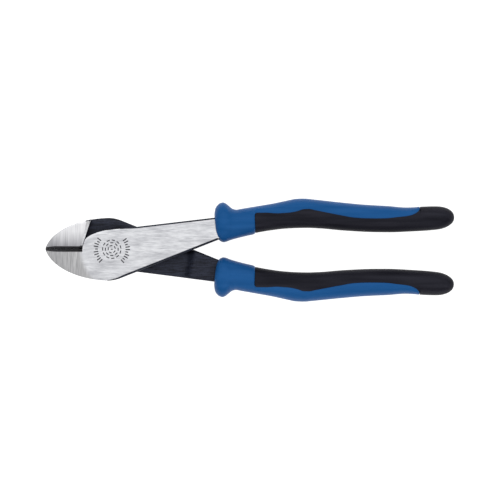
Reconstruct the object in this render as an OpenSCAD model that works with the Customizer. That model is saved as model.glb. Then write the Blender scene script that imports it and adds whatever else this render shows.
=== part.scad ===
// Diagonal-cutting pliers: two identical forged halves on one flush rivet, each with a two-part handle grip.
// Millimetres. X runs from the jaws to the handle ends, Y across the tool and Z through its thickness.
// The origin is on the pivot axis, in the ground face of the joint on the underside.

/* [Joint] */
// Thickness of the joint over both ground faces
joint_t = 12; // [11:0.5:13]
// Gap between the two lapped joint faces
lap_gap = 0.08; // [0.06:0.02:0.12]
// Distance from the pivot axis to the jaw shoulder of the other half
shoulder_d = 14.6; // [14.3:0.1:14.8]
// Slope of the jaw shoulder in plan, from the length of the tool
shoulder_angle = 72.3; // [70:0.1:74]
// Gap between the joint boss and the shoulder of the other half
shoulder_gap = 0.15; // [0.1:0.05:0.3]

/* [Rivet] */
// Radius of the rivet's shank
rivet_r = 4.6; // [4:0.1:5]
// Radius of the rivet's countersunk ends
rivet_head_r = 6.2; // [5.6:0.1:6.8]
// Depth of the countersinks
rivet_head_h = 1.8; // [1.2:0.1:2.4]
// Radial running clearance of the rivet in the half that turns on it
rivet_clearance = 0.05; // [0.03:0.01:0.08]

/* [Jaws] */
// Distance from the pivot axis to the tip of the jaws
tip_x = 33.8; // [32:0.2:35]
// Distance from the pivot axis to the inner end of the cutting edges
throat_x = 14.9; // [14.7:0.1:15.4]
// Half of the width of the head where the jaw's curve ends, 0.1 less than at its widest place
head_half_w = 15.8; // [15.4:0.1:16.6]
// Width of the bevel beside each cutting edge
bevel_w = 1.3; // [0.9:0.1:1.6]
// Gap between each cutting edge and the middle plane of the closed tool
edge_gap = 0.04; // [0.03:0.01:0.08]
// Half of the thickness of the blunt line along each cutting edge
edge_flat = 0.1; // [0.05:0.01:0.2]
// Radius of the flat joint land, where the sloping jaw faces begin
land_r = 21.8; // [21:0.2:22.6]
// Distance of the centre of that land behind the pivot axis
land_x = 6; // [5:0.5:7]
// Slope of the jaw faces at the edge of the land
face_slope = 0.12; // [0.08:0.01:0.16]
// How fast that slope grows towards the tip, per millimetre
face_curve = 0.0045; // [0.003:0.0005:0.006]

/* [Shanks] */
// Thickness of the shank between joint and grip
shank_t = 9.5; // [9.4:0.1:10]
// Radius from the pivot axis where the shank starts to grow thicker
ramp_r = 38; // [37.5:0.1:42]
// Length of the ramp to its full thickness
ramp_l = 4.7; // [2.5:0.1:5]
// Gap between that ramp and the other half's shank beside it
ramp_gap = 0.25; // [0.2:0.05:0.4]
// Thickness of the tang inside the grip
tang_t = 6.6; // [6:0.1:6.6]
// Where the tang ends, from the pivot axis
tang_end = 158; // [150:1:162]

/* [Grips] */
// Distance from the pivot axis to the end of the grips
grip_end = 173.2; // [170:0.1:176]
// Thickness of the soft cover over the core
cover_t = 2.2; // [1.8:0.1:2.4]
// How far the cover stands proud of the core beside it
cover_step = 0.5; // [0.2:0.1:0.6]
// Length of the rounded end of the grip
cap_l = 8; // [6:0.5:10]

/* [Hidden] */
$fn = 96;
mid_z = joint_t / 2;
steel = [0.80, 0.80, 0.82];
dark_plastic = [0.11, 0.11, 0.12];
blue_rubber = [0.10, 0.31, 0.60];

// Plan of the shank: where its inner edge starts at the head and where both edges reach the grip
inner_start = [4.5, -14.6];
inner_end = [54.4, 5.3];
outer_end = [53, 16.35];
outer_start = [-3.5, 9.45];
// Where the shank steps down to the tang, inside the collar of the grip
step_inner = [56.5, 6.1];
step_outer = [55.2, 16.6];

// Edges of the grip in plan, as [x, y]
grip_outer = [[52.2, 18.6], [53.2, 21.5], [54.8, 23.3], [56.6, 23.9], [58.7, 22.8], [61.2, 20.7],
    [63.5, 20.4], [73, 22], [81, 23.5], [89, 25.2], [93, 25.9], [97, 26.1], [101.5, 25.7],
    [115.6, 24.3], [128, 23.2], [140, 22.5], [148.5, 22], [157, 22.8], [163, 23.1], [grip_end, 22.8]];
grip_inner = [[52.2, 6.6], [53.2, 5.1], [54.7, 4.1], [56.4, 3.8], [59.5, 4.8], [65, 6.4], [73, 8.2],
    [79.5, 9.3], [87.5, 10.3], [98.5, 10.8], [105.5, 10.5], [115.6, 9.6], [124, 9.1], [132, 8.8],
    [140, 8.7], [152, 9.2], [164, 10.1], [grip_end, 11.4]];
// Half of the thickness of the grip along its length
grip_half_t = [[52.2, 7.8], [53.6, 9.6], [56.5, 10.6], [60, 9.8], [65, 9.2], [72.7, 9.1],
    [95, 9.5], [120, 9.3], [145, 8.8], [grip_end, 8.2]];
// How far the rings of the grip lean along X for each millimetre of Y
grip_lean = [[52.2, 0.12], [56.5, 0.04], [72.5, 0.04], [85, 0], [grip_end, 0]];
// Roundness of the grip's cross-section: 2 is an ellipse, more is squarer
grip_power = 2.5;
// Where the front of the core lies, and where the cover's collar ends and its strip begins
core_start = 58.5;
collar_end = 72.2;
// Edge of the cover's strip in plan
strip_edge = [[72.2, 19.2], [78, 19.1], [83, 18.7], [90, 19], [94, 19.9], [97, 20.9], [100, 21],
    [108, 19.2], [115.6, 17.7], [122, 16.6], [127, 16.3], [132, 16.2], [138, 16.3], [144.5, 17.1],
    [150, 17.8], [153.2, 18.9], [155, 20.2], [156, 22.6]];
// Middle and half of the width of the tang in plan
tang_mid = [[54, 10.9], [62, 13.0], [73, 15.2], [85, 17.2], [97, 18.2], [110, 17.5], [125, 16.3],
    [141, 15.5], [tang_end, 15.9]];
tang_half_w = [[54, 4.6], [62, 3.7], [73, 3.5], [100, 3.4], [140, 3.0], [tang_end, 2.6]];

// ---- curves ----

// Points of a Bezier curve, without its last point
function bezier(a, b, c, d, n) = [for (i = [0:n - 1]) let (t = i / n, u = 1 - t)
    u * u * u * a + 3 * u * u * t * b + 3 * u * t * t * c + t * t * t * d];

// Slope of a smooth curve at knot i of [x, y] knots
function knot_slope(k, i) = let (n = len(k) - 1, p = k[max(i - 1, 0)], q = k[min(i + 1, n)])
    (q[1] - p[1]) / (q[0] - p[0]);

// Value at x of the smooth curve through [x, y] knots
function curve_at(k, x, i = 0) =
    i < len(k) - 2 && x > k[i + 1][0] ? curve_at(k, x, i + 1) :
    let (w = k[i + 1][0] - k[i][0], t = min(max((x - k[i][0]) / w, 0), 1),
        t2 = t * t, t3 = t2 * t)
    (2 * t3 - 3 * t2 + 1) * k[i][1] + (t3 - 2 * t2 + t) * w * knot_slope(k, i)
    + (3 * t2 - 2 * t3) * k[i + 1][1] + (t3 - t2) * w * knot_slope(k, i + 1);

// ---- forged halves ----

// Point at height y on the boss's edge, which runs along the other half's shoulder
function beside_shoulder(y) =
    [-(shoulder_d - shoulder_gap) / sin(shoulder_angle) + y / tan(shoulder_angle), y];

// Plan of a half's jaw, joint boss and shank
jaw_curve = concat(
    bezier([-tip_x, -edge_gap], [2 - tip_x, -7.5], [-20, 0.8 - head_half_w],
        [-3.5, -head_half_w], 20),
    bezier([-3.5, -head_half_w], [-0.8, -head_half_w - 0.3], [2, -15.6], inner_start, 6));
boss_corner = bezier(outer_start, [-8.4, 8.4], [-12.6, 6.6], beside_shoulder(4.5), 10);
half_plan = concat(jaw_curve, [inner_start, inner_end, step_inner, step_outer, outer_end],
    boss_corner, [beside_shoulder(4.5), beside_shoulder(1.2), [0.1 - throat_x, -edge_gap]]);

tang_xs = [for (x = [54:8:tang_end]) x];
tang_plan = concat(
    [for (x = tang_xs) [x, curve_at(tang_mid, x) - curve_at(tang_half_w, x)]],
    [for (a = [-75:30:75]) [tang_end, curve_at(tang_mid, tang_end)]
        + curve_at(tang_half_w, tang_end) * [cos(a), sin(a)]],
    [for (i = [len(tang_xs) - 1:-1:0]) let (x = tang_xs[i])
        [x, curve_at(tang_mid, x) + curve_at(tang_half_w, x)]]);

function face_drop(d) = face_slope * d + face_curve * d * d;

// Height of the jaw face over the middle plane, beside the cutting edge
function face_height(x) = mid_z - face_drop(max(land_x - x - land_r, 0));

// Removes what stands over the sloping upper face of a jaw
module jaw_face_cut() {
    reach = tip_x + land_x + 3;
    profile = [for (i = [0:8]) let (d = (reach - land_r) * i / 8) [land_r + d, -face_drop(d)]];
    translate([land_x, 0, joint_t])
        rotate([0, 0, 112])
            rotate_extrude(angle = 136)
                polygon(concat(profile, [[reach, 5], [land_r, 5]]));
}

// Removes the bevel over the cutting edge, a ruled wedge that follows the jaw face
module bevel_cut() {
    xs = [-tip_x - 1, -30, -26, -22, -18, -throat_x];
    low = mid_z + edge_flat;
    over = joint_t + 1;
    rings = [for (x = xs) let (run = (over - low) / (face_height(x) - edge_flat))
        [[x, -edge_gap, low], [x, -edge_gap - bevel_w * run, over], [x, 1, over], [x, 1, low]]];
    n = len(xs);
    points = [for (r = rings) for (p = r) p];
    sides = [for (i = [0:n - 2]) for (j = [0:3]) let (k = (j + 1) % 4)
        each [[4 * i + j, 4 * i + k, 4 * i + 4 + k], [4 * i + j, 4 * i + 4 + k, 4 * i + 4 + j]]];
    polyhedron(points, concat([[3, 2, 1, 0]], sides, [[for (j = [0:3]) 4 * (n - 1) + j]]));
}

// The same cut for the other side of the jaw
module both_faces() {
    children();
    translate([0, 0, joint_t]) mirror([0, 0, 1]) children();
}

// Material beyond a circle about the pivot, with a ramp down from the lap plane, clear of the other half's shank
module ramped_block() {
    low = joint_t - shank_t;
    top = mid_z + 1;
    difference() {
        rotate([0, 0, -8])
            rotate_extrude(angle = 40)
                polygon([[ramp_r, top], [ramp_r, mid_z + lap_gap / 2], [ramp_r + ramp_l, low],
                    [ramp_r + 40, low], [ramp_r + 40, top]]);
        translate([inner_start[0], ramp_gap - inner_start[1], -1])
            rotate([0, 0, -atan((inner_end[1] - inner_start[1]) / (inner_end[0] - inner_start[0]))])
                translate([-20, -60, 0])
                    cube([70, 60, joint_t + 2]);
    }
}

// Everything on the jaw side of the shoulder, below the lap plane
module jaw_side() {
    rotate([0, 0, 90 - shoulder_angle])
        mirror([1, 0, 0])
            translate([shoulder_d, -40, 0])
                cube([60, 80, mid_z + lap_gap]);
}

module rivet_hole(clearance) {
    r = rivet_r + clearance;
    head = rivet_head_r + clearance;
    translate([0, 0, -1]) cylinder(h = joint_t + 2, r = r);
    translate([0, 0, joint_t - rivet_head_h]) cylinder(h = rivet_head_h, r1 = r, r2 = head);
}

// A half in the front place: lower jaw, upper joint layer and upper handle
module forged_half(clearance) {
    color(steel) difference() {
        union() {
            translate([0, 0, mid_z + lap_gap / 2])
                linear_extrude(mid_z - lap_gap / 2) polygon(half_plan);
            intersection() {
                linear_extrude(mid_z + lap_gap) polygon(half_plan);
                jaw_side();
            }
            intersection() {
                linear_extrude(joint_t - 1) polygon(half_plan);
                ramped_block();
            }
            translate([0, 0, mid_z - tang_t / 2]) linear_extrude(tang_t) polygon(tang_plan);
        }
        both_faces() jaw_face_cut();
        both_faces() bevel_cut();
        rivet_hole(clearance);
    }
}

module pivot_rivet() {
    color(steel) rotate_extrude() polygon([[0, 0], [rivet_head_r, 0], [rivet_r, rivet_head_h],
        [rivet_r, joint_t - rivet_head_h], [rivet_head_r, joint_t], [0, joint_t]]);
}

// ---- grips ----

// Where the cover's skin would end; the core shows at the handle's end, one step inside that skin
skin_end = grip_end + cover_step;

// How much of its full section the grip keeps at x: 1 until its rounded end
function cap(x) = let (u = max(x - (skin_end - cap_l), 0) / cap_l)
    pow(max(1 - pow(u, 2.3), 0), 1 / 2.3);

function grip_mid(x) = (curve_at(grip_outer, x) + curve_at(grip_inner, x)) / 2;
function grip_half_w(x) = (curve_at(grip_outer, x) - curve_at(grip_inner, x)) / 2;

function rounded(v) = sign(v) * pow(abs(v), 2 / grip_power);

// One ring of the grip at x, inset all round
function grip_ring(x, inset, sides) = let (
    k = cap(x + inset), w = (grip_half_w(x) - inset) * k,
    t = (curve_at(grip_half_t, x) - inset) * k, m = grip_mid(x), lean = curve_at(grip_lean, x))
    [for (i = [0:sides - 1]) let (a = 360 * i / sides, y = w * rounded(cos(a)))
        [x - lean * y, m + y, mid_z - t * rounded(sin(a))]];

// The grip's outer shape between two rings, inset all round
module grip_body(inset, from_x) {
    sides = 24;
    last = skin_end - inset;
    xs = concat([for (x = [52.2, 52.8, 53.6, 54.8, 56.5, 58.5, 60, 61.5, 63.5, 66, 69, 73])
        if (x >= from_x) x], [for (x = [79:6:163]) x],
        [for (u = [0.1, 0.35, 0.6, 0.8, 0.92, 0.99]) last - cap_l * (1 - u)]);
    n = len(xs);
    points = [for (x = xs) each grip_ring(x, inset, sides)];
    skin = [for (i = [0:n - 2]) for (j = [0:sides - 1]) let (k = (j + 1) % sides)
        each [[sides * i + j, sides * i + k, sides * (i + 1) + k],
            [sides * i + j, sides * (i + 1) + k, sides * (i + 1) + j]]];
    polyhedron(points, concat([[for (j = [sides - 1:-1:0]) j]], skin,
        [[for (j = [0:sides - 1]) sides * (n - 1) + j]]));
}

// Plan of the cover: its collar and the strip along the outer edge
cover_xs = [for (i = [0:24]) collar_end + (156 - collar_end) * sin(i * 3.75)];
cover_plan = concat([[45, 40], [45, -10], [collar_end, -10]],
    [for (x = cover_xs) [x, curve_at(strip_edge, x)]], [[156, 40]]);

module cover_zone() {
    translate([0, 0, -20]) linear_extrude(60) polygon(cover_plan);
}

module grip_core() {
    color(dark_plastic) difference() {
        union() {
            grip_body(cover_t, core_start);
            difference() {
                grip_body(cover_step, core_start);
                cover_zone();
            }
        }
        translate([0, 0, mid_z - tang_t / 2]) linear_extrude(tang_t) polygon(tang_plan);
    }
}

module grip_cover() {
    color(blue_rubber) difference() {
        intersection() {
            grip_body(0, 52.2);
            cover_zone();
        }
        grip_body(cover_t, core_start);
        translate([0, 0, joint_t - shank_t]) linear_extrude(shank_t) polygon(half_plan);
        translate([0, 0, mid_z - tang_t / 2]) linear_extrude(tang_t) polygon(tang_plan);
    }
}

// The other half's place: turned over about the tool's long axis
module turned_over() {
    translate([0, 0, joint_t]) rotate([180, 0, 0]) children();
}

forged_half(0);  // front_half
turned_over() forged_half(rivet_clearance);  // back_half
pivot_rivet();
grip_core();  // front_grip_core
grip_cover();  // front_grip_cover
turned_over() grip_core();  // back_grip_core
turned_over() grip_cover();  // back_grip_cover
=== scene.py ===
"""Looks for the diagonal-cutting pliers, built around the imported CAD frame. Lengths are in millimetres, and
MM turns them into metres; the stage, the lights and the camera are in metres."""
import math

import bmesh
import bpy
import numpy as np
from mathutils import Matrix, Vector
from mathutils.geometry import delaunay_2d_cdt


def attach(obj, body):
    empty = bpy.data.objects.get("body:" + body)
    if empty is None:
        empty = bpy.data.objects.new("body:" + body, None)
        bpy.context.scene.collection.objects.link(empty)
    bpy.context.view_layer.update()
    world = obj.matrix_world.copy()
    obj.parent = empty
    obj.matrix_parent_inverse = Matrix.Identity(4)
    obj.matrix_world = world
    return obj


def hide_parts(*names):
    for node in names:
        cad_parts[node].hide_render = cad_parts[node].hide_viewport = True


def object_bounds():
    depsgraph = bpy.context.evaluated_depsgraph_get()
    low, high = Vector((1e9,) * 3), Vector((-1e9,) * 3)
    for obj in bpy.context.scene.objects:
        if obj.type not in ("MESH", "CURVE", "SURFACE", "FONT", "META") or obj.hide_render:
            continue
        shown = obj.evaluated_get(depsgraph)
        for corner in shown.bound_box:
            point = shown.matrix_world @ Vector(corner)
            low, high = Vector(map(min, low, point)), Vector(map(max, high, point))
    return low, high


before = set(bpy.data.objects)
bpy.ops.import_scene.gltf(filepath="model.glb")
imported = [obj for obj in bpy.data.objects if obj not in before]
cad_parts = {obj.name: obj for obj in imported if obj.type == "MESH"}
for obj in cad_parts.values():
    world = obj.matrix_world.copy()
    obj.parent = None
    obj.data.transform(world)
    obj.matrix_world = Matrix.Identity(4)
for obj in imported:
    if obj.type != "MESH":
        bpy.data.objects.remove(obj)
cad_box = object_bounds()

MM = 0.001
TOP = 12.0          # the upper ground face
MID = 6.0           # the plane where the two halves lap
LAP = 0.04          # each lapped face's distance from that plane
EDGE = 0.006        # each cutting edge's distance from the middle plane
EDGE_FLAT = 0.1     # half thickness of the blunt line along each cutting edge
BEVEL = 1.42        # width of the bevel beside each cutting edge
TIP = 33.8          # from the pivot axis to the tip of the jaws
THROAT = 14.9       # from the pivot axis to the inner end of the cutting edges
HEAD_HALF_W = 15.8  # half width of the head where the jaw's curve ends
LAND_R, LAND_X = 21.8, 6.0      # radius of the joint's flat land, and where its centre lies on the X axis
SHANK_LOW = 2.5     # underside of the shank past the joint
TANG_LOW, TANG_TOP = 2.7, 9.3
RIVET_R, RIVET_HEAD_R, RIVET_HEAD_H = 4.6, 6.2, 1.8
FIT = 0.02          # radial gap between the rivet and its hole
MARK_DEPTH = 0.14   # depth of the stamped marks


# ---------------------------------------------------------------- curves

def bezier(a, b, c, d, n):
    """n points from a towards d, without d."""
    t = np.linspace(0, 1, n, endpoint=False)[:, None]
    a, b, c, d = (np.array(p, float) for p in (a, b, c, d))
    return (1 - t) ** 3 * a + 3 * (1 - t) ** 2 * t * b + 3 * (1 - t) * t * t * c + t ** 3 * d


def line(a, b, step):
    """Points from a towards b, without b."""
    a, b = np.array(a, float), np.array(b, float)
    n = max(1, round(np.linalg.norm(b - a) / step))
    return a + (b - a) * np.linspace(0, 1, n, endpoint=False)[:, None]


def arc_points(r, a0, a1, n):
    """n points on a circle round the origin, from a0 to a1 degrees."""
    a = np.radians(np.linspace(a0, a1, n))
    return np.stack([r * np.cos(a), r * np.sin(a)], 1)


def curve(knots, x):
    """Smooth curve through (x, y) knots that doesn't overshoot them."""
    k = np.array(knots, float)
    xs, ys = k[:, 0], k[:, 1]
    h, d = np.diff(xs), np.diff(ys) / np.diff(xs)
    m = np.zeros(len(xs))
    m[0], m[-1] = d[0], d[-1]
    same = d[1:] * d[:-1] > 0
    w1, w2 = 2 * h[1:] + h[:-1], h[1:] + 2 * h[:-1]
    mean = (w1 + w2) / (w1 / np.where(same, d[:-1], 1) + w2 / np.where(same, d[1:], 1))
    m[1:-1] = np.where(same, mean, 0)
    x = np.clip(x, xs[0], xs[-1])
    i = np.clip(np.searchsorted(xs, x, side="right") - 1, 0, len(h) - 1)
    t = (x - xs[i]) / h[i]
    return ((2 * t ** 3 - 3 * t ** 2 + 1) * ys[i] + (t ** 3 - 2 * t ** 2 + t) * h[i] * m[i]
            + (3 * t ** 2 - 2 * t ** 3) * ys[i + 1] + (t ** 3 - t ** 2) * h[i] * m[i + 1])


def smoothstep(t):
    """A smooth step from 0 to 1 while t goes from 0 to 1."""
    t = np.clip(t, 0, 1)
    return t * t * (3 - 2 * t)


# ---------------------------------------------------------------- materials

def rgb(r, g, b):
    """Linear colour from the 0-255 values of a screen colour."""
    return tuple(c / 255 / 12.92 if c < 11 else ((c / 255 + 0.055) / 1.055) ** 2.4
                 for c in (r, g, b)) + (1.0,)


class Nodes:
    """Small helper that builds one node material."""

    def __init__(self, name):
        self.mat = bpy.data.materials.new(name)
        self.mat.use_nodes = True
        self.tree = self.mat.node_tree
        self.tree.nodes.clear()
        self.out = self.tree.nodes.new("ShaderNodeOutputMaterial")
        self.bsdf = self.tree.nodes.new("ShaderNodeBsdfPrincipled")
        self.link(self.bsdf.outputs[0], self.out.inputs[0])
        self.coords = self.tree.nodes.new("ShaderNodeTexCoord").outputs["Object"]

    def link(self, a, b):
        """Joins an output to an input."""
        self.tree.links.new(a, b)

    def set(self, **values):
        """Sets constants on the shader's own sockets, with _ for each space in a name."""
        for key, value in values.items():
            self.bsdf.inputs[key.replace("_", " ")].default_value = value

    def noise(self, scale, detail=3.0, rough=0.55, distortion=0.0):
        """Noise whose scale is in features per millimetre along X, Y and Z."""
        mapping = self.tree.nodes.new("ShaderNodeMapping")
        mapping.inputs["Scale"].default_value = tuple(s / MM for s in scale)
        self.link(self.coords, mapping.inputs["Vector"])
        n = self.tree.nodes.new("ShaderNodeTexNoise")
        n.inputs["Scale"].default_value = 1.0
        n.inputs["Detail"].default_value = detail
        n.inputs["Roughness"].default_value = rough
        n.inputs["Distortion"].default_value = distortion
        self.link(mapping.outputs[0], n.inputs["Vector"])
        return n.outputs["Fac"]

    def ramp(self, value, low, high, out_low, out_high):
        """Maps low..high to out_low..out_high, and holds the ends."""
        n = self.tree.nodes.new("ShaderNodeMapRange")
        for key, v in (("From Min", low), ("From Max", high), ("To Min", out_low), ("To Max", out_high)):
            n.inputs[key].default_value = v
        self.link(value, n.inputs["Value"])
        return n.outputs[0]

    def math(self, op, a, b):
        n = self.tree.nodes.new("ShaderNodeMath")
        n.operation = op
        for i, v in enumerate((a, b)):
            if isinstance(v, (int, float)):
                n.inputs[i].default_value = v
            else:
                self.link(v, n.inputs[i])
        return n.outputs[0]

    def mix(self, factor, a, b):
        n = self.tree.nodes.new("ShaderNodeMix")
        n.data_type = "RGBA"
        self.link(factor, n.inputs["Factor"])
        for key, v in (("A", a), ("B", b)):
            socket = [s for s in n.inputs if s.name == key and s.type == "RGBA"][0]
            if isinstance(v, tuple):
                socket.default_value = v
            else:
                self.link(v, socket)
        return [s for s in n.outputs if s.type == "RGBA"][0]

    def axis(self, name):
        """The coordinate along X, Y or Z in millimetres."""
        n = self.tree.nodes.new("ShaderNodeSeparateXYZ")
        self.link(self.coords, n.inputs[0])
        return self.math("MULTIPLY", n.outputs[name], 1 / MM)

    def bump(self, height, distance_mm, strength=1.0):
        n = self.tree.nodes.new("ShaderNodeBump")
        n.inputs["Strength"].default_value = strength
        n.inputs["Distance"].default_value = distance_mm * MM
        self.link(height, n.inputs["Height"])
        self.link(n.outputs[0], self.bsdf.inputs["Normal"])


def ground_steel():
    """The upper ground face: brushed along the tool over the joint and shank, across it on the jaw, with a
    soft change where the joint's flat land ends."""
    n = Nodes("ground_steel")
    brushed = n.noise((0.22, 2.3, 0.3), 5, 0.65)
    clouds = n.noise((0.1, 0.3, 0.2), 3, 0.55)
    flat_tone = n.math("ADD", n.math("MULTIPLY", brushed, 0.6), n.math("MULTIPLY", clouds, 0.4))
    flat = n.mix(n.ramp(flat_tone, 0.36, 0.64, 0, 1), rgb(176, 177, 182), rgb(232, 233, 236))
    streaks = n.noise((2.2, 0.1, 0.3), 5, 0.62)
    slope = n.mix(n.ramp(streaks, 0.34, 0.66, 0, 1), rgb(156, 156, 158), rgb(200, 200, 201))
    past = n.math("SUBTRACT", n.axis("X"), LAND_X)
    y = n.axis("Y")
    away = n.math("SQRT", n.math("ADD", n.math("MULTIPLY", past, past), n.math("MULTIPLY", y, y)), 0)
    jaw_side = n.math("MULTIPLY", n.ramp(away, LAND_R - 1.4, LAND_R + 0.9, 0, 1), n.ramp(past, -6, -8, 0, 1))
    n.link(n.mix(jaw_side, flat, slope), n.bsdf.inputs["Base Color"])
    n.link(n.ramp(brushed, 0.3, 0.7, 0.40, 0.30), n.bsdf.inputs["Roughness"])
    n.bump(n.math("ADD", brushed, n.math("MULTIPLY", streaks, jaw_side)), 0.007, 0.6)
    n.set(Metallic=1.0)
    return n.mat


def black_oxide():
    """Forged steel left black: blue-black, slightly mottled, with the scale's low waves."""
    n = Nodes("black_oxide")
    fine = n.noise((1.6, 1.6, 1.6), 5, 0.6)
    drawn = n.noise((0.14, 1.5, 0.3), 5, 0.62)
    tone = n.math("ADD", n.math("MULTIPLY", fine, 0.35), n.math("MULTIPLY", drawn, 0.65))
    n.link(n.mix(n.ramp(tone, 0.36, 0.64, 0, 1), rgb(7, 8, 15), rgb(47, 51, 66)), n.bsdf.inputs["Base Color"])
    n.link(n.ramp(fine, 0.3, 0.7, 0.36, 0.5), n.bsdf.inputs["Roughness"])
    n.bump(n.math("ADD", fine, n.math("MULTIPLY", drawn, 2.0)), 0.025)
    n.set(Metallic=0.25, Specular_IOR_Level=0.2)
    return n.mat


def bevel_steel_painted_shade():
    """The cutting bevels, fine ground, with painted shade: their colour is darkened for the shade of their
    narrow groove.
    """
    n = Nodes("cutting_bevel_painted_shade")
    fine = n.noise((3.0, 0.4, 0.4), 3, 0.5)
    # painted shade: grey tones that stand for the groove's shade on the ground bevels
    n.link(n.mix(n.ramp(fine, 0.35, 0.65, 0, 1), rgb(100, 100, 103), rgb(140, 140, 144)),
           n.bsdf.inputs["Base Color"])
    n.link(n.ramp(fine, 0.3, 0.7, 0.34, 0.46), n.bsdf.inputs["Roughness"])
    n.bump(fine, 0.006)
    n.set(Metallic=0.7)
    return n.mat


def stamped():
    """Floor and walls of the shallow stamped marks."""
    n = Nodes("stamped_mark")
    fine = n.noise((4, 4, 4), 3, 0.5)
    n.link(n.mix(fine, rgb(38, 39, 44), rgb(80, 81, 87)), n.bsdf.inputs["Base Color"])
    n.set(Metallic=0.8, Roughness=0.6)
    return n.mat


def jaw_painted_highlight():
    """The ground jaw face with painted light: a painted highlight makes it whiter towards its outer edge, and
    painted shade makes it greyer beside the cutting edge.
    """
    n = Nodes("jaw_ground_painted_highlight")
    fine = n.noise((2.4, 0.09, 0.3), 4, 0.6, 0.15)
    clouds = n.noise((0.5, 0.06, 0.2), 2, 0.5)
    tone = n.math("ADD", n.math("MULTIPLY", fine, 0.65), n.math("MULTIPLY", clouds, 0.35))
    across = n.math("ABSOLUTE", n.axis("Y"), 0)
    # painted light: both tones are darker beside the cutting edge and whiter towards the outer edge, standing
    # for how light falls on the curved jaw
    base = n.mix(n.ramp(across, 1.5, 9.0, 0, 1), rgb(134, 134, 138), rgb(203, 203, 206))
    light = n.mix(n.ramp(across, 1.5, 9.0, 0, 1), rgb(172, 172, 176), rgb(230, 230, 232))
    n.link(n.mix(n.ramp(tone, 0.38, 0.62, 0, 1), base, light), n.bsdf.inputs["Base Color"])
    n.link(n.ramp(fine, 0.3, 0.7, 0.36, 0.28), n.bsdf.inputs["Roughness"])
    n.bump(fine, 0.012, 0.6)
    n.set(Metallic=1.0)
    return n.mat


def soft_plastic(name, dark, light, roughness, grain_mm, specular):
    """Moulded soft plastic: fine dull grain, faint flow marks along the handle."""
    n = Nodes(name)
    fine = n.noise((4.5, 4.5, 4.5), 4, 0.6)
    flow = n.noise((0.03, 0.35, 0.35), 3, 0.5)
    tone = n.math("ADD", n.math("MULTIPLY", fine, 0.35), n.math("MULTIPLY", flow, 0.65))
    n.link(n.mix(n.ramp(tone, 0.35, 0.65, 0, 1), dark, light), n.bsdf.inputs["Base Color"])
    n.link(n.ramp(fine, 0.3, 0.7, roughness - 0.05, roughness + 0.06), n.bsdf.inputs["Roughness"])
    n.bump(fine, grain_mm, 0.7)
    n.set(Specular_IOR_Level=specular)
    return n.mat


MATS = {
    "face": ground_steel(),
    # the jaw face's colour holds a painted highlight
    "jaw_painted_highlight": jaw_painted_highlight(),
    # the bevels' colour holds painted shade
    "bevel": bevel_steel_painted_shade(),
    "oxide": black_oxide(),
    "mark": stamped(),
    "cover": soft_plastic("blue_soft_cover", rgb(15, 75, 131), rgb(29, 85, 143), 0.42, 0.010, 0.08),
    "core": soft_plastic("black_core", rgb(22, 22, 29), rgb(42, 42, 50), 0.5, 0.012, 0.035),
}


# ---------------------------------------------------------------- the forged halves

JAW_END = (-3.5, -HEAD_HALF_W)      # where the jaw's curve goes over into the head's rounded corner
# the shank's inner and outer edges in plan
INNER_START, INNER_END = (4.5, -14.6), (54.4, 5.3)
OUTER_END, OUTER_START = (53.0, 16.35), (-3.5, 9.45)
# where the shank steps down to the tang, inside the grip's collar
STEP_INNER, STEP_OUTER = (56.5, 6.1), (55.2, 16.6)
# the tang's middle line and half width in plan
TANG_MID = [(54, 10.9), (62, 13.0), (73, 15.2), (85, 17.2), (97, 18.2), (110, 17.5), (125, 16.3),
            (141, 15.5), (158, 15.9)]
TANG_HALF = [(54, 4.6), (62, 3.7), (73, 3.5), (100, 3.4), (140, 3.0), (158, 2.6)]
# the jaw shoulder of the other half, in the plan of this one
SHOULDER_TOP, SHOULDER_FOOT = (-15.3, -EDGE), (-10.51, -15.02)
# the boss's edge, which runs 0.15 mm from the other half's shoulder
BOSS_TOP, BOSS_FOOT = (-13.71, 4.5), (-14.77, 1.2)
# where the flat land beside the shoulder ends, on the face that lies under the other half's boss
CREASE = ((-15.9, 0.0), (-12.7, -14.5))
# widths of the rounded margin: beside the cutting edges, on the jaw's lower face, on the tang
EDGE_MARGIN, JAW_MARGIN, TANG_MARGIN = 0.12, 0.2, 0.5


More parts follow.
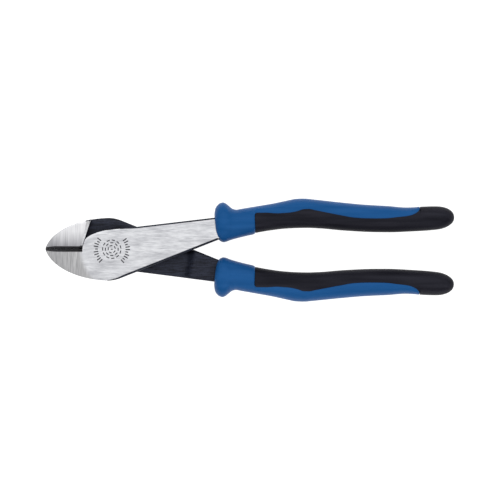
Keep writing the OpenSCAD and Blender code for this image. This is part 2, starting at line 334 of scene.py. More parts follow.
def outline():
    """The half's plan, anticlockwise from the tip along the jaw's outer edge, with for each point the width
    of its rounded margin on the upper face and on the lower one, and the number of the point at the
    shoulder's foot."""
    pts, upper, lower = [], [], []

    def add(p, up, low):
        p = np.atleast_2d(p)
        pts.extend(map(tuple, p))
        upper.extend(np.broadcast_to(up(p) if callable(up) else up, len(p)))
        lower.extend(np.broadcast_to(low, len(p)))

    def inner_margin(p):
        return 0.2 + 0.85 * smoothstep((p[:, 0] + 6) / 14)

    def outer_margin(p):
        return 0.14 + 0.66 * smoothstep((p[:, 0] - 2) / 12)

    jaw = bezier((-TIP, -EDGE), (2 - TIP, -7.5), (-20, 0.8 - HEAD_HALF_W), JAW_END, 60)
    foot = int(np.argmin(np.abs(jaw[:, 0] - SHOULDER_FOOT[0])))
    jaw[foot] = SHOULDER_FOOT
    add(jaw, inner_margin, np.where(np.arange(len(jaw)) < foot, JAW_MARGIN, 1.4))
    add(bezier(JAW_END, (-0.8, -HEAD_HALF_W - 0.3), (2, -15.6), INNER_START, 12), inner_margin, 1.4)
    add(line(INNER_START, INNER_END, 0.9), inner_margin, 1.3)
    add(line(INNER_END, STEP_INNER, 0.7), TANG_MARGIN, TANG_MARGIN)
    xs = np.arange(57.6, 156, 4.0)
    mid, half = curve(TANG_MID, xs), curve(TANG_HALF, xs)
    add(np.stack([xs, mid - half], 1), TANG_MARGIN, TANG_MARGIN)
    add(np.array(TANG_MID[-1]) + arc_points(TANG_HALF[-1][1], -80, 80, 9), TANG_MARGIN, TANG_MARGIN)
    add(np.stack([xs, mid + half], 1)[::-1], TANG_MARGIN, TANG_MARGIN)
    add(line(STEP_OUTER, OUTER_END, 0.7), TANG_MARGIN, 0.9)
    add(line(OUTER_END, OUTER_START, 0.9), outer_margin, 1.3)
    add(bezier(OUTER_START, (-8.4, 8.4), (-12.6, 6.6), BOSS_TOP, 16), 0.14, 0.3)
    boss = line(BOSS_TOP, BOSS_FOOT, 0.5)
    # a bow of 0.03 mm keeps these points off one straight line
    add(boss - [[0.03, 0]] * np.sin(np.linspace(0, math.pi, len(boss), endpoint=False))[:, None], 0.14, 0.2)
    for p in (BOSS_FOOT, (-14.8, -EDGE), (-THROAT, -EDGE), SHOULDER_TOP):
        add(p, EDGE_MARGIN, EDGE_MARGIN)
    add(line((-15.9, -EDGE), (-TIP + 0.4, -EDGE), 0.55), EDGE_MARGIN, EDGE_MARGIN)
    return np.array(pts), np.array(upper), np.array(lower), foot


def inside(points, poly):
    """Which points lie inside a closed polygon."""
    x, y = points[:, 0], points[:, 1]
    hit = np.zeros(len(points), bool)
    for (x0, y0), (x1, y1) in zip(poly, np.roll(poly, -1, 0)):
        cross = (y0 > y) != (y1 > y)
        hit ^= cross & (x < (x1 - x0) * (y - y0) / (y1 - y0 + 1e-12) + x0)
    return hit


def edge_distance(points, poly, widths):
    """Distance of each point from the polygon's edge, and the margin width there."""
    best = np.full(len(points), 1e9)
    width = np.zeros(len(points))
    nxt, wn = np.roll(poly, -1, 0), np.roll(widths, -1)
    for a, b, wa, wb in zip(poly, nxt, widths, wn):
        ab = b - a
        t = np.clip(((points - a) @ ab) / (ab @ ab), 0, 1)
        d = np.linalg.norm(points - a - t[:, None] * ab, axis=1)
        near = d < best
        best = np.where(near, d, best)
        width = np.where(near, wa + (wb - wa) * t, width)
    return best, width


RINGS = (0.1, 0.3, 0.6, 1.0)        # where the rings of points lie across the margin, as shares of its width


def margin_points(poly, widths):
    """Rings of points inside the outline that carry the rounded margin, and the innermost ring's edges."""
    nxt, prv = np.roll(poly, -1, 0), np.roll(poly, 1, 0)
    t = nxt - prv
    t /= np.linalg.norm(t, axis=1)[:, None]
    inward = np.stack([-t[:, 1], t[:, 0]], 1)
    pts, chains = [], []
    for f in RINGS:
        ring = poly + inward * (f * widths)[:, None]
        d, _ = edge_distance(ring, poly, widths)
        keep = (d > 0.96 * f * widths) & inside(ring, poly)
        index = np.full(len(poly), -1)
        index[keep] = np.arange(keep.sum()) + len(pts)
        pts.extend(ring[keep])
        if f == 1.0:
            chains = [(index[i], index[(i + 1) % len(poly)]) for i in range(len(poly))
                      if index[i] >= 0 and index[(i + 1) % len(poly)] >= 0]
    return np.array(pts), chains


def margin_drop(d, width):
    """How far the rounded margin falls below the face at distance d from the outline."""
    u = np.clip(1 - d / np.maximum(width, 1e-6), 0, 1) * 0.93
    return 1.15 * width * (1 - np.sqrt(1 - u * u))


def face_drop(d):
    """How far a jaw face falls at distance d beyond the end of its flat land."""
    d = np.maximum(d, 0)
    return 0.12 * d + 0.0045 * d * d


def bevel_width(x):
    """The bevel narrows over the last few millimetres before the tip."""
    return BEVEL * (0.45 + 0.55 * np.sqrt(np.clip((x + TIP) / 5.0, 0, 1)))


def bevel_limit(x, y, face):
    """Lowers a jaw face, given as its height over the middle plane, to the bevel beside the cutting edge."""
    rise = EDGE_FLAT + np.clip(-EDGE - y, 0, 50) / bevel_width(x) * (face - EDGE_FLAT)
    return np.where(x < -THROAT, np.minimum(face, rise), face)


def top_height(x, y):
    """Height of the upper face: level over joint and shank, falling on the jaw, and lower on the tang."""
    face = MID - face_drop(np.where(x < 0, np.hypot(x - LAND_X, y) - LAND_R, 0))
    z = MID + bevel_limit(x, y, face)
    return z + (TANG_TOP - TOP) * smoothstep((x - 55.4) / 1.6)


def jaw_under_height(x, y):
    """Height of the jaw's lower face, which falls away from the crease beside the shoulder."""
    (ax, ay), (bx, by) = CREASE
    nx, ny = (by - ay), -(bx - ax)
    d = ((x - ax) * nx + (y - ay) * ny) / math.hypot(nx, ny)
    step = 0.14 * smoothstep(d / 0.25 + 0.5)
    return MID - bevel_limit(x, y, MID - step - face_drop(d * 1.02))


RAMP_R, RAMP_L = 37.9, 4.7      # where the shank's ramp starts, from the pivot axis, and how long it is


def lap_height(x, y):
    """Height of the underside: the lapped face, then the ramp down to the shank's full thickness."""
    beside = y - (14.6 - 0.399 * (x - 4.5))       # distance in Y from the edge of the other half's shank
    deep = smoothstep((np.hypot(x, y) - RAMP_R) / RAMP_L) * smoothstep((beside - 0.2) / 0.5)
    z = MID + LAP + (SHANK_LOW - MID - LAP) * deep
    return z + (TANG_LOW - SHANK_LOW) * smoothstep((x - 57) / 1.5)


def mark_strokes():
    """The stamped decoration on the boss: two arcs of ticks, and inside them three broken rings round a short
    stroke. Each stroke is (centre x, centre y, direction in degrees, length, width)."""
    strokes = []

    def tick(r, a, turn, length, width):
        x, y = r * math.cos(math.radians(a)), r * math.sin(math.radians(a))
        strokes.append((x, y, a + turn, length, width))

    for start in (142, -48):
        for k in range(10):
            long = k % 3 != 1
            tick(8.1 if long else 7.7, start + 9.4 * k, 0, 2.3 if long else 1.4, 0.55)
    for r, count, start in ((4.6, 11, 15), (3.2, 8, 0), (1.8, 5, 30)):
        for k in range(count):
            tick(r, start + 360 / count * k, 90, 0.62 * 2 * math.pi * r / count, 0.5)
    strokes.append((0, 0, 0, 1.0, 0.5))
    return strokes


def stroke_corners(stroke, shrink=0.0):
    """The corners of a stroke, with its edges moved in by shrink."""
    x, y, a, length, width = stroke
    u = np.array([math.cos(math.radians(a)), math.sin(math.radians(a))])
    v = np.array([-u[1], u[0]])
    l, w = length / 2 - shrink, width / 2 - shrink
    return [np.array([x, y]) + u * sx * l + v * sy * w for sx, sy in ((-1, -1), (1, -1), (1, 1), (-1, 1))]


def triangulate(points, edges, poly, holes=()):
    """Constrained Delaunay triangles of the points, inside poly and outside the round holes, given as
    radii."""
    out = delaunay_2d_cdt([Vector(p) for p in points], [tuple(map(int, e)) for e in edges], [], 0, 1e-6)
    verts = np.array([tuple(v) for v in out[0]])
    tris = np.array([f for f in out[2] if len(f) == 3])
    c = verts[tris].mean(1)
    keep = inside(c, poly)
    for r in holes:
        keep &= np.hypot(c[:, 0], c[:, 1]) > r * 0.999
    return verts, tris[keep]


def grid(poly, widths, step_fine, step):
    """Points inside the outline's margin: fine over the jaw and boss, coarser along the shank."""
    lo, hi = poly.min(0), poly.max(0)
    pts = []
    for x0, x1, s in ((lo[0], -9.0, step_fine), (-9.0, 60.0, step), (60.0, hi[0], 6.0)):
        rows = np.arange(lo[1], hi[1], s * 0.87)
        for j, y in enumerate(rows):
            xs = np.arange(x0, x1, s) + (s / 2 if j % 2 else 0)
            pts.append(np.stack([xs, np.full(len(xs), y)], 1))
    pts = np.vstack(pts)
    pts = pts[inside(pts, poly)]
    d, w = edge_distance(pts, poly, widths)
    return pts[d > w + 0.45 * step_fine]


class Patch:
    """Collects points and constraint edges for one face of the half."""

    def __init__(self, poly, widths):
        self.poly, self.widths = poly, widths
        self.pts = [np.array(poly)]
        n = len(poly)
        self.edges = [(i, (i + 1) % n) for i in range(n)]
        self.count = n
        self.add(*margin_points(poly, widths))

    def fill(self, cells, obstacles, gap=0.45):
        """Adds the cells that lie further than gap from every obstacle's points."""
        keep = np.ones(len(cells), bool)
        for o in obstacles:
            keep &= np.min(np.linalg.norm(cells[:, None] - o[None], axis=2), axis=1) > gap
        self.add(cells[keep])

    def triangles(self, holes=()):
        """Its points and triangles, and for each point the distance from the edge and the width of the margin
        there."""
        verts, tris = triangulate(np.vstack(self.pts), self.edges, self.poly, holes)
        return (verts, tris) + edge_distance(verts, self.poly, self.widths)

    def add(self, pts, edges=()):
        """Adds points, and edges between them numbered from the first of them."""
        pts = np.atleast_2d(pts)
        base = self.count
        self.edges += [(a + base, b + base) for a, b in edges]
        self.pts.append(pts)
        self.count += len(pts)

    def chain(self, pts, closed=False):
        """Adds points joined one to the next."""
        n = len(pts)
        self.add(pts, [(i, (i + 1) % n) for i in range(n if closed else n - 1)])


def circle(r, n=72):
    """n points round a circle, as many for every circle of the joint."""
    return arc_points(r, 0, 360 - 360 / n, n)


def bevel_points(x):
    """The bevel's inner edge, from x to near the tip."""
    return np.array([(v, -EDGE - bevel_width(v)) for v in np.arange(x, -TIP + 0.8, -0.6)])


def on_knife(p):
    """Which points lie on the bevel or its edge, where there is no rounded margin."""
    return (p[:, 1] > -EDGE - bevel_width(p[:, 0]) - 0.05) & (p[:, 0] < -THROAT)


def half_mesh(marks):
    """One forged half in the front place, as points in millimetres, faces and material names."""
    poly, up, low, foot = outline()
    n = len(poly)
    verts, faces, mats = [], [], []

    def emit(points2, heights):
        base = len(verts)
        verts.extend((p[0], p[1], h) for p, h in zip(points2, heights))
        return base

    # upper face
    top = Patch(poly, up)
    hole = circle(RIVET_HEAD_R + FIT)
    top.chain(hole, closed=True)
    land = np.array([(LAND_X + LAND_R * math.cos(a), LAND_R * math.sin(a))
                     for a in np.radians(np.linspace(180.5, 225, 40))])
    land = land[inside(land, poly)]
    d, w = edge_distance(land, poly, up)
    land = land[d > w + 0.25]
    top.chain(land)
    bevel_line = bevel_points(-THROAT - 0.05)
    top.chain(bevel_line)
    throat = np.array([(x, y) for x in (-THROAT - 0.03, -THROAT + 0.03) for y in np.linspace(-0.25, -1.2, 6)])
    top.add(throat)
    strokes = mark_strokes() if marks else []
    outer_strokes = [s for s in strokes if math.hypot(s[0], s[1]) > RIVET_HEAD_R]
    obstacles = [hole, land, bevel_line, throat]
    for s in outer_strokes:
        top.chain(stroke_corners(s), closed=True)
        top.chain(stroke_corners(s, 0.07), closed=True)
        obstacles.append(np.array(stroke_corners(s) + [np.array(s[:2])]))
    cells = grid(poly, up, 0.9, 2.2)
    top.fill(cells[np.hypot(cells[:, 0], cells[:, 1]) > RIVET_HEAD_R + 0.6], obstacles)
    tv, tt, d, w = top.triangles((RIVET_HEAD_R + FIT,))
    z = top_height(tv[:, 0], tv[:, 1]) - np.where(on_knife(tv), 0, margin_drop(d, w))
    for s in outer_strokes:
        floor = inside(tv, np.array(stroke_corners(s, 0.05)))
        z = np.where(floor, z - MARK_DEPTH, z)
    t_base = emit(tv, z)
    c = tv[tt].mean(1)
    dc, wc = edge_distance(c, poly, up)
    in_mark = np.zeros(len(c), bool)
    for s in outer_strokes:
        in_mark |= inside(c, np.array(stroke_corners(s)))
    for tri, (x, y), dd, ww, mk in zip(tt, c, dc, wc, in_mark):
        faces.append(tuple(t_base + i for i in tri))
        if x < -THROAT and y > -EDGE - bevel_width(x):
            mats.append("bevel")
        elif mk:
            mats.append("mark")
        elif dd < ww * 0.98 and (x > -2 and ww > 0.3 if y < 0 else x > 4):
            mats.append("oxide")
        else:
            mats.append("face")

    # the two parts of the underside, which meet along the shoulder wall
    knee = int(np.argmin(np.linalg.norm(poly - np.array(SHOULDER_TOP), axis=1)))
    wall = line(SHOULDER_TOP, SHOULDER_FOOT, 0.6)[1:]       # without both ends
    # a bow of 0.05 mm keeps the wall's points off one straight line, where triangles would have no area
    bow = 0.05 * np.sin(np.linspace(0, math.pi, len(wall) + 2)[1:-1])
    wall = wall - bow[:, None]
    jaw_ids = list(range(knee, n)) + list(range(0, foot + 1))
    jaw_poly = np.vstack([poly[jaw_ids], wall[::-1]])
    jaw_w = np.concatenate([np.full(len(jaw_ids), JAW_MARGIN), np.full(len(wall), 0.25)])
    jaw = Patch(jaw_poly, jaw_w)
    bevel_line = bevel_points(-16.4)
    jaw.chain(bevel_line)
    (ax, ay), (bx, by) = CREASE
    crease = np.array([(ax + (bx - ax) * t, ay + (by - ay) * t) for t in np.linspace(0, 1, 24)])
    crease = crease[inside(crease, jaw_poly)]
    d, w = edge_distance(crease, jaw_poly, jaw_w)
    crease = crease[(d > w + 0.2) & (crease[:, 1] < -1.5)]
    jaw.chain(crease)
    jaw.fill(grid(jaw_poly, jaw_w, 0.9, 2.2), [bevel_line, crease])
    jv, jt, d, w = jaw.triangles()
    z = jaw_under_height(jv[:, 0], jv[:, 1]) + np.where(on_knife(jv), 0, margin_drop(d, w))
    j_base = emit(jv, z)
    for tri in jt:
        x, y = jv[tri].mean(0)
        faces.append(tuple(j_base + i for i in tri[::-1]))
        flat = (x - ax) * (by - ay) - (y - ay) * (bx - ax) < 0
        if y > -EDGE - bevel_width(x):
            mats.append("bevel")
        elif x > -13.2 and np.min(np.hypot(poly[:foot + 1, 0] - x, poly[:foot + 1, 1] - y)) < 0.55:
            mats.append("oxide")
        else:
            # the jaw's sloping lower face gets the colour with the painted highlight
            mats.append("face" if flat else "jaw_painted_highlight")

    lap_ids = list(range(foot, knee + 1))
    lap_poly = np.vstack([poly[lap_ids], wall])
    lap_w = np.concatenate([low[lap_ids], np.full(len(wall), EDGE_MARGIN)])
    lap = Patch(lap_poly, lap_w)
    bore = circle(RIVET_R + FIT)
    lap.chain(bore, closed=True)
    cells = grid(lap_poly, lap_w, 1.6, 1.6)
    lap.add(cells[np.hypot(cells[:, 0], cells[:, 1]) > RIVET_R + 0.8])
    lv, lt, d, w = lap.triangles((RIVET_R + FIT,))
    l_base = emit(lv, lap_height(lv[:, 0], lv[:, 1]) + margin_drop(d, w))
    for tri in lt:
        faces.append(tuple(l_base + i for i in tri[::-1]))
        x, y = lv[tri].mean(0)
        mats.append("face" if math.hypot(x, y) < 8.0 else "oxide")

    # side walls: upper outline point i is vertex t_base + i, as the triangulation keeps the input order
    jaw_of = {i: j_base + k for k, i in enumerate(jaw_ids)}
    lap_of = {i: l_base + k for k, i in enumerate(lap_ids)}
    for i in range(n):
        k = (i + 1) % n
        below = jaw_of if i in jaw_of and k in jaw_of else lap_of
        ring = [below[i], below[k]]
        if below is jaw_of:
            if k == foot:
                ring = [below[i], below[k], lap_of[k]]
            if i == knee:
                ring = [lap_of[i], below[i], below[k]]
        faces.append(tuple(ring + [t_base + k, t_base + i]))
        x = (poly[i][0] + poly[k][0]) / 2
        mats.append("oxide" if x > -14.5 or poly[i][1] < -0.5 else "bevel")
        if below is jaw_of and poly[i][1] < -0.5 and x < -10.5:
            mats[-1] = "face"
    # shoulder wall
    j_wall = [jaw_of[foot]] + [j_base + len(jaw_ids) + k for k in range(len(wall))] + [jaw_of[knee]]
    l_wall = [lap_of[knee]] + [l_base + len(lap_ids) + k for k in range(len(wall))] + [lap_of[foot]]
    l_wall = l_wall[::-1]
    for a in range(len(j_wall) - 1):
        faces.append((j_wall[a + 1], j_wall[a], l_wall[a], l_wall[a + 1]))
        mats.append("oxide")
    # countersink and bore
    m = len(hole)
    h_top = t_base + int(np.argmin(np.linalg.norm(tv - hole[0], axis=1)))
    h_low = l_base + int(np.argmin(np.linalg.norm(lv - bore[0], axis=1)))
    neck = emit(bore, np.full(m, TOP - RIVET_HEAD_H))
    for a in range(m):
        b = (a + 1) % m
        faces.append((h_top + a, h_top + b, neck + b, neck + a))
        faces.append((neck + a, neck + b, h_low + b, h_low + a))
        mats += ["face", "face"]
    return np.array(verts), faces, mats


def make_object(name, verts, faces, mats, smooth_angle=28):
    """A mesh object in metres, smooth except at edges of more than smooth_angle degrees or between two
    materials."""
    mesh = bpy.data.meshes.new(name)
    mesh.from_pydata([tuple(v) for v in np.asarray(verts) * MM], [], faces)
    obj = bpy.data.objects.new(name, mesh)
    bpy.context.scene.collection.objects.link(obj)
    names = list(dict.fromkeys(mats))
    for m in names:
        mesh.materials.append(MATS[m])
    index = {m: i for i, m in enumerate(names)}
    mesh.polygons.foreach_set("material_index", [index[m] for m in mats])
    bm = bmesh.new()
    bm.from_mesh(mesh)
    bmesh.ops.recalc_face_normals(bm, faces=bm.faces)
    print("mesh", name, "faces", len(bm.faces), "open edges", sum(len(e.link_faces) != 2 for e in bm.edges))
    limit = math.radians(smooth_angle)
    for e in bm.edges:
        if len(e.link_faces) == 2:
            a, b = e.link_faces
            e.smooth = e.calc_face_angle(0) < limit and a.material_index == b.material_index
    for f in bm.faces:
        f.smooth = True
    bm.to_mesh(mesh)
    bm.free()
    return obj


def turned_over(verts):
    """The other half's place: turned over about the tool's long axis."""
    return np.asarray(verts) * (1, -1, -1) + (0, 0, TOP)


def rivet_mesh(strokes):
    """The rivet: both flush ends, their countersinks and the shank, with the marks that lie on its upper
    end."""
    verts, faces, mats = [], [], []
    rim = circle(RIVET_HEAD_R)
    inner = [s for s in strokes if math.hypot(s[0], s[1]) < RIVET_HEAD_R]
    pts, edges = [rim], [(i, (i + 1) % len(rim)) for i in range(len(rim))]
    count = len(rim)
    for s in inner:
        for shrink in (0, 0.07):
            pts.append(np.array(stroke_corners(s, shrink)))
            edges += [(count + i, count + (i + 1) % 4) for i in range(4)]
            count += 4
    tv, tt = triangulate(np.vstack(pts), edges, rim)
    z = np.full(len(tv), TOP)
    for s in inner:
        z = np.where(inside(tv, np.array(stroke_corners(s, 0.05))), TOP - MARK_DEPTH, z)
    verts += [(p[0], p[1], h) for p, h in zip(tv, z)]
    c = tv[tt].mean(1)
    dark = np.zeros(len(c), bool)
    for s in inner:
        dark |= inside(c, np.array(stroke_corners(s)))
    for tri, mk in zip(tt, dark):
        faces.append(tuple(tri))
        mats.append("mark" if mk else "face")
    m = len(rim)
    rings = [0]
    for r, h in ((RIVET_R, TOP - RIVET_HEAD_H), (RIVET_R, RIVET_HEAD_H), (RIVET_HEAD_R, 0.0)):
        rings.append(len(verts))
        verts += [(p[0], p[1], h) for p in circle(r)]
    for a, b in zip(rings, rings[1:]):
        for i in range(m):
            k = (i + 1) % m
            faces.append((a + i, b + i, b + k, a + k))
            mats.append("face")
    faces.append(tuple(rings[-1] + i for i in range(m))[::-1])
    mats.append("face")
    return verts, faces, mats


# ---------------------------------------------------------------- the grips

START, END = 52.2, 173.2        # the collar's mouth and the handle's end
CAP = 9.0                       # length of the handle's rounded end
# the grip's outer and inner edges in plan, its half thickness, and how far its rings lean along X for each
# millimetre of Y
OUTER = [(START, 18.4), (52.8, 20.7), (53.8, 22.5), (55.1, 23.65), (56.4, 24.0), (57.7, 23.55), (59.3, 22.3),
         (61.1, 20.85), (63.1, 20.35), (65.1, 20.7), (73.2, 22.1), (81.3, 23.55), (89.4, 25.3), (93.0, 26.0),
         (97.0, 26.15), (101.5, 25.75), (115.6, 24.3), (127.8, 23.2), (140, 22.55), (148.5, 21.9),
         (152, 21.98), (157, 22.4), (163, 22.6), (END, 22.4)]
INNER = [(START, 7.2), (52.9, 5.5), (54.2, 4.3), (56.0, 3.8), (57.2, 4.0), (58.9, 4.65), (61.0, 5.3),
         (65.1, 6.4), (72.7, 8.1), (79.3, 9.25), (87.4, 10.25), (93.4, 10.6), (98.5, 10.7), (105.5, 10.45),
         (115.6, 9.58), (123.7, 9.08), (131.8, 8.75), (140, 8.7), (152, 9.2), (158, 9.55), (164, 10.1),
         (END, 11.4)]
HALF_T = [(START, 7.6), (53.2, 9.2), (54.6, 10.2), (56.5, 10.6), (58.5, 10.3), (61, 9.5), (64, 9.2),
          (72.7, 9.1), (95, 9.5), (120, 9.3), (145, 8.8), (END, 8.2)]
LEAN = [(START, 0.11), (56.5, 0.04), (72.5, 0.04), (85, 0.0), (END, 0.0)]
POWER = 2.5                     # roundness of the section: 2 is an ellipse, more is squarer
COLLAR_END = 72.2               # where the cover's collar ends and its strip begins
STRIP_TIP = 155.9
# the strip's edge in plan
STRIP = [(COLLAR_END, 17.9), (72.6, 18.7), (73.4, 19.15), (78, 19.1), (83.3, 18.7), (90, 19.05),
         (94.1, 19.95), (96.8, 20.9), (99.5, 21.0), (103, 20.3), (108, 19.25), (115.6, 17.75), (121.9, 16.6),
         (127, 16.25), (132, 16.2), (137.7, 16.3), (144.4, 17.1), (149.8, 17.85), (153.2, 19.2), (155, 20.7),
         (STRIP_TIP, 22.1)]
COVER_T = 2.2                   # thickness of the cover
RECESS = COVER_T + 0.03         # how deep the core lies under the cover
STEP = 0.55                     # how deep the core lies where it shows
LIP, LIP_DEPTH = 2.6, 0.75      # width and depth of the rounded edge of the cover's strip
LIP_FULL = 4.0                  # half width of the strip from which its lip has its full depth
END_LIP = 1.6                   # width of the rounded end of the collar
MOUTH_LIP = 0.9                 # radius of the rounded mouth of the collar
AFTER_COLLAR = (0.12, 0.25, 0.4, 0.65, 0.9)     # distances past the collar's end of the first rings there
STRIP_COLS = 34                 # columns of points across half of the strip
INNER_COLS = 40                 # columns of points across half of the rest


def ring_shape(x):
    """The grip's middle, half width, half thickness and lean at x."""
    yo, yi = float(curve(OUTER, x)), float(curve(INNER, x))
    return (yo + yi) / 2, (yo - yi) / 2, float(curve(HALF_T, x)), float(curve(LEAN, x))


def cap_scale(x):
    """How much of its section the grip keeps at x: all of it until its rounded end."""
    u = max(x - (END - CAP), 0) / CAP
    return max(1 - u ** 2.3, 0) ** (1 / 2.3)


def ring_point(x, phi, inset):
    """A point on the grip's skin, inset by so many millimetres. phi is 0 on the outer side and a quarter turn
    on the upper."""
    mid, a, b, lean = ring_shape(x)
    k = cap_scale(x)
    a, b = (a - inset) * k, (b - inset) * k
    c, s = math.cos(phi), math.sin(phi)
    y = a * math.copysign(abs(c) ** (2 / POWER), c)
    z = b * math.copysign(abs(s) ** (2 / POWER), s)
    return (x - lean * y, mid + y, MID + z)


def ring_arc(x, inset):
    """Samples of phi from 0 to pi at ring x, with the arc length to each."""
    phis = np.linspace(0, math.pi, 181)
    p = np.array([ring_point(x, f, inset) for f in phis])
    s = np.concatenate([[0], np.cumsum(np.linalg.norm(np.diff(p, axis=0), axis=1))])
    return phis, s


def strip_phi(x):
    """The angle at which the cover's strip ends at ring x."""
    if x >= STRIP_TIP:
        return 0.0
    mid, a, _, _ = ring_shape(x)
    ratio = max(-1.0, min(1.0, (float(curve(STRIP, x)) - mid) / a))
    return math.acos(math.copysign(abs(ratio) ** (POWER / 2), ratio))


def columns(x, strip_share):
    """Angles of the columns over half a ring: even arc lengths over the strip, then over the rest. Near the
    edge between them the columns are close, for the cover's rounded lip. With them come the arc lengths over
    the strip and the arc length of its edge."""
    phis, s = ring_arc(x, 0)
    edge = np.interp(strip_share, phis, s)
    total = s[-1]
    fine = np.array([1.95, 1.4, 0.95, 0.6, 0.3, 0.1, 0.0])
    scale = min(1.0, edge / 4.5)
    a = np.concatenate([np.linspace(0, edge - 2.5 * scale, STRIP_COLS - len(fine)), edge - fine * scale])
    b = np.concatenate([edge + np.array([0.02, 0.1, 0.25]), np.linspace(edge + 0.6, total, INNER_COLS - 3)])
    return np.interp(a, s, phis), np.interp(b, s, phis), a, edge


def lip_inset(e):
    """How far the cover's skin curls in at arc distance e from its edge."""
    return LIP_DEPTH * max(0.0, 1 - e / LIP) ** 1.6


def round_inset(e, width, depth):
    """How far the skin curls in at distance e from a rounded end of so much width and depth."""
    u = max(0.0, 1 - e / width)
    return depth * (1 - math.sqrt(max(0.0, 1 - u * u)))


def full_ring(x, half_a, half_b, inset_a, inset_b):
    """Points round a whole ring from the columns of its upper half: up over the strip, on over the rest, and
    back."""
    half = list(zip(np.concatenate([half_a, half_b]), np.concatenate([inset_a, inset_b])))
    return [ring_point(x, f, i) for f, i in half] + [ring_point(x, -f, i) for f, i in half[-2:0:-1]]


def stations(*stretches):
    """Evenly spaced x values over stretches given as (from, to, number)."""
    return [x for a, b, n in stretches for x in np.linspace(a, b, n, endpoint=False)]


def core_mesh():
    """The hard core: recessed under the cover, and full where it shows."""
    rings = []
    recess, inner_recess = np.full(STRIP_COLS, RECESS), np.full(INNER_COLS, RECESS)
    edge_phi = strip_phi(COLLAR_END)
    for x in stations((58.6, COLLAR_END - 0.05, 16)) + [COLLAR_END - 0.02]:
        a, b, _, _ = columns(x, edge_phi)
        rings.append(full_ring(x, a, b, recess, inner_recess))
    body = [COLLAR_END + f for f in (0.02,) + AFTER_COLLAR]
    body += stations((COLLAR_END + 1.2, 150, 64), (150, STRIP_TIP - 0.2, 14)) + [STRIP_TIP]
    body += stations((STRIP_TIP + 0.3, END - CAP, 12))
    cap_u = 1 - (1 - np.linspace(0, 1, 15)[:-1]) ** 2
    body += list(END - CAP + CAP * cap_u) + [END - 0.05]
    for x in body:
        share = max(strip_phi(x), 0.03)
        ia = recess
        ib = np.full(INNER_COLS, STEP + 0.25 * (1 - min(1.0, (x - COLLAR_END) / 0.3)))
        if x >= STRIP_TIP:
            # past the strip the columns spread out again, and the core is flush with the strip's tip
            share = max(share, 1.08 * smoothstep((x - (STRIP_TIP - 5)) / 6))
            ia = np.linspace(0.04, STEP, STRIP_COLS)
        else:
            ib[0] = STEP + 0.12
        a, b, _, _ = columns(x, share)
        rings.append(full_ring(x, a, b, ia, ib))
    return sweep(rings)


def sweep(rings):
    """The skin over a row of rings, closed at both ends by a fan."""
    n = len(rings[0])
    verts = [p for r in rings for p in r]
    faces = []
    for i in range(len(rings) - 1):
        for j in range(n):
            k = (j + 1) % n
            faces.append((i * n + j, i * n + k, (i + 1) * n + k, (i + 1) * n + j))
    first = len(verts)
    verts.append(tuple(np.mean(rings[0], axis=0)))
    verts.append(tuple(np.mean(rings[-1], axis=0)))
    last = (len(rings) - 1) * n
    for j in range(n):
        k = (j + 1) % n
        faces.append((j, first, k))
        faces.append((last + j, last + k, first + 1))
    return verts, faces


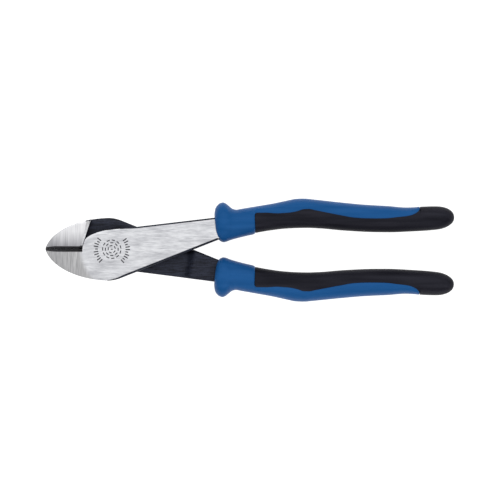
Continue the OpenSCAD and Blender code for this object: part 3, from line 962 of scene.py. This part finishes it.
def cover_mesh():
    """The soft cover: a collar all round, and a strip with a rounded lip along the outer side that ends in a
    point."""
    edge_phi = strip_phi(COLLAR_END)
    collar = [START, 52.22, 52.3, 52.5, 52.8]
    collar += stations((53.1, 60, 22), (60, 64, 8), (64, COLLAR_END - 1.7, 8))
    collar += [COLLAR_END - f for f in (1.2, 0.85, 0.55, 0.32, 0.16, 0.06, 0.0)]
    strip = [COLLAR_END + f for f in AFTER_COLLAR]
    strip += stations((COLLAR_END + 1.2, 148, 64), (148, STRIP_TIP - 0.06, 20))
    verts, faces = [], []

    def skin(x, a, b, ia, ib):
        verts.extend(full_ring(x, a, b, ia, ib))
        return len(verts) - count

    count = 2 * (STRIP_COLS + INNER_COLS) - 2
    outer_rows, inner_rows = [], []
    for x in collar:
        a, b, _, _ = columns(x, edge_phi)
        mouth_curl = round_inset(x - START, MOUTH_LIP, MOUTH_LIP)
        # the end's lip fades out where the strip goes on
        fade = np.clip(np.arange(INNER_COLS) / 3.0, 0, 1)
        ib = mouth_curl + round_inset(COLLAR_END - x, END_LIP, LIP_DEPTH) * fade
        outer_rows.append(skin(x, a, b, np.full(STRIP_COLS, mouth_curl), ib))
        deep = COVER_T if x > 58.55 else 3.1        # the collar is thicker in front of the core
        inner_rows.append(skin(x, a, b, np.full(STRIP_COLS, deep), np.full(INNER_COLS, deep)))
    for r in range(len(collar) - 1):
        for j in range(count):
            k = (j + 1) % count
            faces.append((outer_rows[r] + j, outer_rows[r] + k, outer_rows[r + 1] + k, outer_rows[r + 1] + j))
            faces.append((inner_rows[r] + j, inner_rows[r + 1] + j, inner_rows[r + 1] + k, inner_rows[r] + k))
    for j in range(count):
        k = (j + 1) % count
        faces.append((outer_rows[0] + k, outer_rows[0] + j, inner_rows[0] + j, inner_rows[0] + k))
    # ids of the strip's columns in a full ring, from the lower edge round the outer side to the upper edge
    ids = [count - STRIP_COLS + 1 + i for i in range(STRIP_COLS - 1)] + list(range(STRIP_COLS))
    rest = list(range(STRIP_COLS - 1, count - STRIP_COLS + 2))
    last_o, last_i = outer_rows[-1], inner_rows[-1]
    for j, k in zip(rest, rest[1:]):
        faces.append((last_o + j, last_o + k, last_i + k, last_i + j))
    prev_o, prev_i = [last_o + j for j in ids], [last_i + j for j in ids]
    for x in strip:
        a, _, arc, edge = columns(x, max(strip_phi(x), 0.02))
        # the lip is shallower beside the collar, and where the strip narrows to its tip
        near = min(1.0, max(0.0, (x - COLLAR_END) / 0.8), edge / LIP_FULL)
        curl = near * np.array([lip_inset(edge - s) for s in arc])
        row_o, row_i = [], []
        for sign, cols in ((-1, range(STRIP_COLS - 1, 0, -1)), (1, range(STRIP_COLS))):
            for c in cols:
                row_o.append(len(verts))
                verts.append(ring_point(x, sign * a[c], min(curl[c], COVER_T - 0.4)))
                row_i.append(len(verts))
                verts.append(ring_point(x, sign * a[c], COVER_T))
        for j in range(len(row_o) - 1):
            faces.append((prev_o[j], prev_o[j + 1], row_o[j + 1], row_o[j]))
            faces.append((prev_i[j], row_i[j], row_i[j + 1], prev_i[j + 1]))
        faces.append((prev_o[0], row_o[0], row_i[0], prev_i[0]))
        faces.append((prev_o[-1], prev_i[-1], row_i[-1], row_o[-1]))
        prev_o, prev_i = row_o, row_i
    for j in range(len(prev_o) - 1):
        faces.append((prev_o[j], prev_o[j + 1], prev_i[j + 1], prev_i[j]))
    return verts, faces


# ---------------------------------------------------------------- build the pieces

GRIP_SMOOTH = 50        # degrees between faces up to which a grip is smooth

front_verts, half_faces, half_mats = half_mesh(True)
back_verts, back_faces, back_mats = half_mesh(False)

front = make_object("front_half_forged", front_verts, half_faces, half_mats)
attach(front, "front"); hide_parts("front_half")
back = make_object("back_half_forged", turned_over(back_verts), back_faces, back_mats)
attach(back, "back"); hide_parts("back_half")

rivet = make_object("pivot_rivet_flush", *rivet_mesh(mark_strokes()))
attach(rivet, "front"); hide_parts("pivot_rivet")

core_verts, core_faces = core_mesh()
cover_verts, cover_faces = cover_mesh()
for side, move in (("front", np.asarray), ("back", turned_over)):
    core = make_object(side + "_grip_hard_core", move(core_verts), core_faces, ["core"] * len(core_faces),
                       GRIP_SMOOTH)
    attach(core, side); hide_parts(side + "_grip_core")
    cover = make_object(side + "_grip_soft_cover", move(cover_verts), cover_faces,
                        ["cover"] * len(cover_faces), GRIP_SMOOTH)
    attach(cover, side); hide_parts(side + "_grip_cover")


# ---------------------------------------------------------------- stage, lights and camera

FLOOR_Z = cad_box[0][2] - 0.0002        # just under the lowest point
FLOOR_HALF = 3.0

floor_mesh = bpy.data.meshes.new("floor")
corners = [(x * FLOOR_HALF, y * FLOOR_HALF, FLOOR_Z) for x, y in ((-1, -1), (1, -1), (1, 1), (-1, 1))]
floor_mesh.from_pydata(corners, [], [(0, 1, 2, 3)])
floor = bpy.data.objects.new("floor", floor_mesh)
bpy.context.scene.collection.objects.link(floor)
pale = Nodes("pale_floor")
pale.link(pale.mix(pale.noise((0.01, 0.01, 0.01)), (0.34, 0.34, 0.34, 1), (0.36, 0.36, 0.36, 1)),
          pale.bsdf.inputs["Base Color"])
pale.set(Roughness=0.9, Emission_Color=(1, 1, 1, 1), Emission_Strength=0.95)
floor.data.materials.append(pale.mat)

world = bpy.data.worlds.new("studio")
bpy.context.scene.world = world
world.use_nodes = True
sky_tree = world.node_tree
sky = sky_tree.nodes["Background"]
sky.inputs[0].default_value = (1, 1, 1, 1)
# the sky grows brighter from the horizon to the zenith
direction = sky_tree.nodes.new("ShaderNodeTexCoord")
split = sky_tree.nodes.new("ShaderNodeSeparateXYZ")
height = sky_tree.nodes.new("ShaderNodeMapRange")
height.interpolation_type = "SMOOTHSTEP"
for key, v in (("From Min", -0.1), ("From Max", 0.9), ("To Min", 0.2), ("To Max", 0.86)):
    height.inputs[key].default_value = v
sky_tree.links.new(direction.outputs["Generated"], split.inputs[0])
sky_tree.links.new(split.outputs["Z"], height.inputs["Value"])
sky_tree.links.new(height.outputs[0], sky.inputs[1])


def area_light(name, place, target, size, power):
    """A rectangular light that faces the target."""
    data = bpy.data.lights.new(name, "AREA")
    data.shape = "RECTANGLE"
    data.size, data.size_y = size
    data.energy = power
    light = bpy.data.objects.new(name, data)
    light.location = place
    light.rotation_euler = (Vector(target) - Vector(place)).to_track_quat("-Z", "Y").to_euler()
    bpy.context.scene.collection.objects.link(light)


area_light("soft_key", (0.05, 0.55, 0.75), (0.06, 0, 0), (1.4, 1.0), 3.5)
area_light("soft_fill", (0.35, -0.5, 0.7), (0.06, 0, 0), (1.0, 0.7), 1.6)

CENTRE = (0.0698, -0.00006)     # the point under the camera, which looks straight down
DISTANCE = 1.8                  # the camera's height
FRAME_W = 0.2525                # width of the picture at the height of the upper ground face
TURN = 0.28                     # degrees by which the camera is turned about its axis
SENSOR = 36.0                   # the only length in millimetres here
cam = bpy.data.cameras.new("camera")
cam.sensor_width = SENSOR
cam.lens = SENSOR * (DISTANCE - TOP * MM) / FRAME_W
cam.clip_start, cam.clip_end = 0.05, 20
camera = bpy.data.objects.new("camera", cam)
camera.location = (CENTRE[0], CENTRE[1], DISTANCE)
camera.rotation_euler = (0, 0, math.radians(TURN))
bpy.context.scene.collection.objects.link(camera)
bpy.context.scene.camera = camera
bpy.context.scene.view_settings.view_transform = "Standard"
